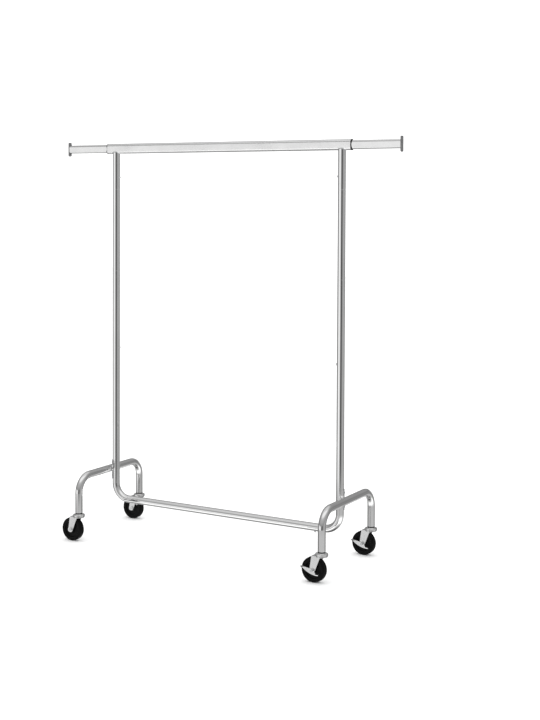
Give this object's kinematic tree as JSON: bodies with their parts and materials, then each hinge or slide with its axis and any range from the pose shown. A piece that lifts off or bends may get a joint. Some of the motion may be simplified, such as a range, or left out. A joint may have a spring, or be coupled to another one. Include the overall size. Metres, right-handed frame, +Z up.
{
  "type": "rolling clothes rack",
  "caption": "Chromed tube garment rack with a telescopic flat-oval hanging rail, inverted-U legs and swivel casters, two of them with a brake pedal.",
  "frame": {"origin": "on the floor, midway between the two uprights and midway between the front and back casters", "axes": "+X along the hanging rail towards the braked casters, +Y from front to back, +Z up"},
  "size_m": [1.47, 0.4511, 1.553],
  "materials": {
    "chrome_tube": "bright chrome plate",
    "chrome_rail": "bright chrome plate, lightly rubbed along its length",
    "satin_rail": "satin plate, fine lines along the rail",
    "zinc_plate": "bright zinc plate on pressed steel",
    "zinc_fastener": "bright zinc plate",
    "spring_steel": "plain steel",
    "grey_cap": "semi-gloss metallic grey moulding",
    "white_nylon": "plain nylon",
    "black_plastic": "fine moulded grain",
    "black_hub": "moulded, slight sheen",
    "black_tyre": "smooth moulded tread"
  },
  "bodies": {
    "frame": {"top_rail_tube": "satin_rail", "rail_socket_left": "chrome_tube", "rail_socket_right": "chrome_tube", "rail_bush_left": "black_plastic", "rail_bush_right": "black_plastic", "upright_upper_left": "chrome_tube", "upright_upper_right": "chrome_tube", "corner_tube_left": "chrome_tube", "corner_tube_right": "chrome_tube", "bottom_cross_tube": "chrome_tube", "leg_tube_left": "chrome_tube", "leg_tube_right": "chrome_tube", "saddle_plate_left": "chrome_tube", "saddle_plate_right": "chrome_tube", "leg_bolts": "zinc_fastener", "leg_nuts": "zinc_fastener", "button_springs": "spring_steel", "caster_sleeve_left_front": "black_plastic", "caster_sleeve_left_back": "black_plastic", "caster_sleeve_right_front": "black_plastic", "caster_sleeve_right_back": "black_plastic", "caster_stem_left_front": "zinc_plate", "caster_stem_left_back": "zinc_plate", "caster_stem_right_front": "zinc_plate", "caster_stem_right_back": "zinc_plate", "swivel_balls": "spring_steel"},
    "extension_left": {"extension_rail_left": "chrome_rail", "end_cap_left": "grey_cap", "rail_glide_left": "white_nylon"},
    "extension_right": {"extension_rail_right": "chrome_rail", "end_cap_right": "grey_cap", "rail_glide_right": "white_nylon"},
    "button_top_left": {"snap_button_top_left": "zinc_fastener"},
    "button_top_right": {"snap_button_top_right": "zinc_fastener"},
    "button_mid_left": {"snap_button_mid_left": "zinc_fastener"},
    "button_mid_right": {"snap_button_mid_right": "zinc_fastener"},
    "button_bottom_left": {"snap_button_bottom_left": "zinc_fastener"},
    "button_bottom_right": {"snap_button_bottom_right": "zinc_fastener"},
    "fork_left_front": {"caster_fork_left_front": "zinc_plate", "axle_bolt_left_front": "zinc_fastener", "axle_bush_left_front": "spring_steel"},
    "wheel_left_front": {"wheel_hub_left_front": "black_hub", "tyre_left_front": "black_tyre"},
    "fork_left_back": {"caster_fork_left_back": "zinc_plate", "axle_bolt_left_back": "zinc_fastener", "axle_bush_left_back": "spring_steel"},
    "wheel_left_back": {"wheel_hub_left_back": "black_hub", "tyre_left_back": "black_tyre"},
    "fork_right_front": {"caster_fork_right_front": "zinc_plate", "axle_bolt_right_front": "zinc_fastener", "axle_bush_right_front": "spring_steel"},
    "wheel_right_front": {"wheel_hub_right_front": "black_hub", "tyre_right_front": "black_tyre"},
    "pedal_right_front": {"brake_pedal_right_front": "zinc_plate"},
    "fork_right_back": {"caster_fork_right_back": "zinc_plate", "axle_bolt_right_back": "zinc_fastener", "axle_bush_right_back": "spring_steel"},
    "wheel_right_back": {"wheel_hub_right_back": "black_hub", "tyre_right_back": "black_tyre"},
    "pedal_right_back": {"brake_pedal_right_back": "zinc_plate"}
  },
  "joints": [
    {"name": "extension_left_slide", "type": "slide", "parent": "frame", "child": "extension_left", "axis": [-1, 0, 0], "range_m": [-0.188, 0.029]},
    {"name": "extension_right_slide", "type": "slide", "parent": "frame", "child": "extension_right", "axis": [1, 0, 0], "range_m": [-0.188, 0.029]},
    {"name": "button_top_left_press", "type": "slide", "parent": "frame", "child": "button_top_left", "axis": [-1, 0, 0], "range_m": [0, 0.0055], "stiffness_N_per_m": 1500, "springref_m": -0.002},
    {"name": "button_top_right_press", "type": "slide", "parent": "frame", "child": "button_top_right", "axis": [1, 0, 0], "range_m": [0, 0.0055], "stiffness_N_per_m": 1500, "springref_m": -0.002},
    {"name": "button_mid_left_press", "type": "slide", "parent": "frame", "child": "button_mid_left", "axis": [-1, 0, 0], "range_m": [0, 0.0055], "stiffness_N_per_m": 1500, "springref_m": -0.002},
    {"name": "button_mid_right_press", "type": "slide", "parent": "frame", "child": "button_mid_right", "axis": [1, 0, 0], "range_m": [0, 0.0055], "stiffness_N_per_m": 1500, "springref_m": -0.002},
    {"name": "button_bottom_left_press", "type": "slide", "parent": "frame", "child": "button_bottom_left", "axis": [0, 0, 1], "range_m": [0, 0.0055], "stiffness_N_per_m": 1500, "springref_m": -0.002},
    {"name": "button_bottom_right_press", "type": "slide", "parent": "frame", "child": "button_bottom_right", "axis": [0, 0, 1], "range_m": [0, 0.0055], "stiffness_N_per_m": 1500, "springref_m": -0.002},
    {"name": "swivel_left_front", "type": "hinge", "parent": "frame", "child": "fork_left_front", "pos_m": [-0.5303, -0.199, 0.093], "axis": [0, 0, 1], "continuous": true},
    {"name": "spin_left_front", "type": "hinge", "parent": "fork_left_front", "child": "wheel_left_front", "pos_m": [-0.5588, -0.199, 0.045], "axis": [0, 1, 0], "continuous": true},
    {"name": "swivel_left_back", "type": "hinge", "parent": "frame", "child": "fork_left_back", "pos_m": [-0.5303, 0.199, 0.093], "axis": [0, 0, 1], "continuous": true},
    {"name": "spin_left_back", "type": "hinge", "parent": "fork_left_back", "child": "wheel_left_back", "pos_m": [-0.5588, 0.199, 0.045], "axis": [0, 1, 0], "continuous": true},
    {"name": "swivel_right_front", "type": "hinge", "parent": "frame", "child": "fork_right_front", "pos_m": [0.5303, -0.199, 0.093], "axis": [0, 0, 1], "continuous": true},
    {"name": "spin_right_front", "type": "hinge", "parent": "fork_right_front", "child": "wheel_right_front", "pos_m": [0.5018, -0.199, 0.045], "axis": [0, 1, 0], "continuous": true},
    {"name": "brake_right_front", "type": "hinge", "parent": "fork_right_front", "child": "pedal_right_front", "pos_m": [0.5018, -0.199, 0.045], "axis": [0, 1, 0], "range_deg": [-34, 0]},
    {"name": "swivel_right_back", "type": "hinge", "parent": "frame", "child": "fork_right_back", "pos_m": [0.5303, 0.199, 0.093], "axis": [0, 0, 1], "continuous": true},
    {"name": "spin_right_back", "type": "hinge", "parent": "fork_right_back", "child": "wheel_right_back", "pos_m": [0.5018, 0.199, 0.045], "axis": [0, 1, 0], "continuous": true},
    {"name": "brake_right_back", "type": "hinge", "parent": "fork_right_back", "child": "pedal_right_back", "pos_m": [0.5018, 0.199, 0.045], "axis": [0, 1, 0], "range_deg": [-34, 0]}
  ]
}
